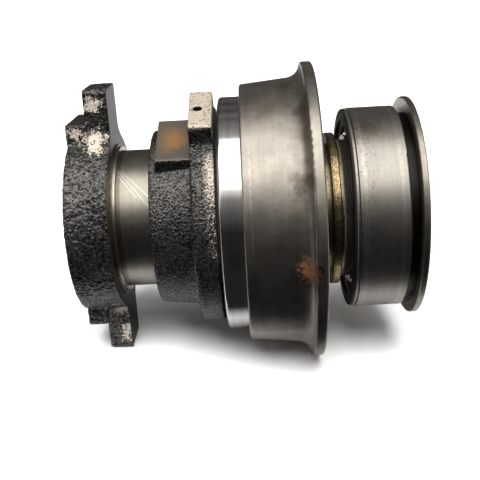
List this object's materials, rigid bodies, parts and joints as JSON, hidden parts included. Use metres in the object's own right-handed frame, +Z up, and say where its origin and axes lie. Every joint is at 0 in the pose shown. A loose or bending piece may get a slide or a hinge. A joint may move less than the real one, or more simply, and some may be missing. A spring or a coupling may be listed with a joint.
{
  "type": "dual clutch release bearing",
  "caption": "Double clutch release bearing: a guide sleeve with a fork yoke and small release bearing, and a sliding second yoke with a large flared release bearing.",
  "frame": {"origin": "on the bore axis, in the rear face of the sleeve and of the rear guide bush", "axes": "+X along the bore towards the clutch, +Z up along the rear yoke's ears, +Y completes the right-handed frame"},
  "size_m": [0.1559, 0.1386, 0.1386],
  "materials": {
    "rear_yoke_casting": "rough sand cast, black, chipped to bright iron on its edges",
    "front_yoke_casting": "rough sand cast, with machined pads, ear tips and hub",
    "sleeve_steel": "ground, with slanting scratches",
    "washer_steel": "oily, stained brown",
    "spring_steel": "oiled spring steel",
    "bush_bronze": "machined bronze",
    "stop_ring_brass": "greasy, speckled",
    "bearing_steel": "ground bearing steel",
    "polished_ring": "polished bearing steel",
    "ball_steel": "polished balls",
    "cage_steel": "plain steel cage",
    "seal_rubber": "matt black rubber",
    "shield_steel": "bright steel case of a bearing seal",
    "thrust_cup_steel": "satin turned steel with brown stains",
    "shell_steel": "satin drawn steel with fine rings",
    "contact_ring_steel": "satin steel, lightly stained"
  },
  "bodies": {
    "sleeve_assembly": {"guide_sleeve": "sleeve_steel", "rear_guide_bush": "bush_bronze", "front_guide_bush": "bush_bronze", "rear_yoke": "rear_yoke_casting", "yoke_rear_snap_ring": "spring_steel", "yoke_thrust_washer": "washer_steel", "yoke_front_snap_ring": "spring_steel", "carrier_stop_ring": "stop_ring_brass", "small_rear_snap_ring": "spring_steel", "small_inner_ring": "bearing_steel", "small_front_snap_ring": "spring_steel"},
    "carrier_bush": {"carrier_bush": "bush_bronze"},
    "front_carrier": {"front_yoke": "front_yoke_casting", "bush_snap_ring": "spring_steel", "large_inner_ring": "bearing_steel"},
    "large_cage": {"large_cage": "cage_steel", "large_balls": "ball_steel"},
    "large_outer": {"large_outer_ring": "polished_ring", "large_rear_seal": "seal_rubber", "large_front_seal": "seal_rubber", "large_thrust_cup": "thrust_cup_steel"},
    "small_cage": {"small_cage": "cage_steel", "small_balls": "ball_steel"},
    "small_outer": {"small_outer_ring": "bearing_steel", "small_rear_seal": "shield_steel", "small_front_seal": "shield_steel", "small_shell": "shell_steel", "small_contact_ring": "contact_ring_steel"}
  },
  "joints": [
    {"name": "carrier_slide", "type": "slide", "parent": "sleeve_assembly", "child": "carrier_bush", "axis": [1, 0, 0], "range_m": [-0.0145, 0.0065]},
    {"name": "carrier_turn", "type": "hinge", "parent": "carrier_bush", "child": "front_carrier", "pos_m": [0.07, 0, 0], "axis": [1, 0, 0], "continuous": true},
    {"name": "large_bearing_spin", "type": "hinge", "parent": "front_carrier", "child": "large_outer", "pos_m": [0.078, 0, 0], "axis": [1, 0, 0], "continuous": true},
    {"name": "large_cage_turn", "type": "hinge", "parent": "front_carrier", "child": "large_cage", "pos_m": [0.078, 0, 0], "axis": [1, 0, 0], "continuous": true},
    {"name": "small_bearing_spin", "type": "hinge", "parent": "sleeve_assembly", "child": "small_outer", "pos_m": [0.1366, 0, 0], "axis": [1, 0, 0], "continuous": true},
    {"name": "small_cage_turn", "type": "hinge", "parent": "sleeve_assembly", "child": "small_cage", "pos_m": [0.1366, 0, 0], "axis": [1, 0, 0], "continuous": true}
  ],
  "couplings": [
    {"joint": "large_cage_turn", "follows": "large_bearing_spin", "ratio": 0.55946},
    {"joint": "small_cage_turn", "follows": "small_bearing_spin", "ratio": 0.54355}
  ]
}
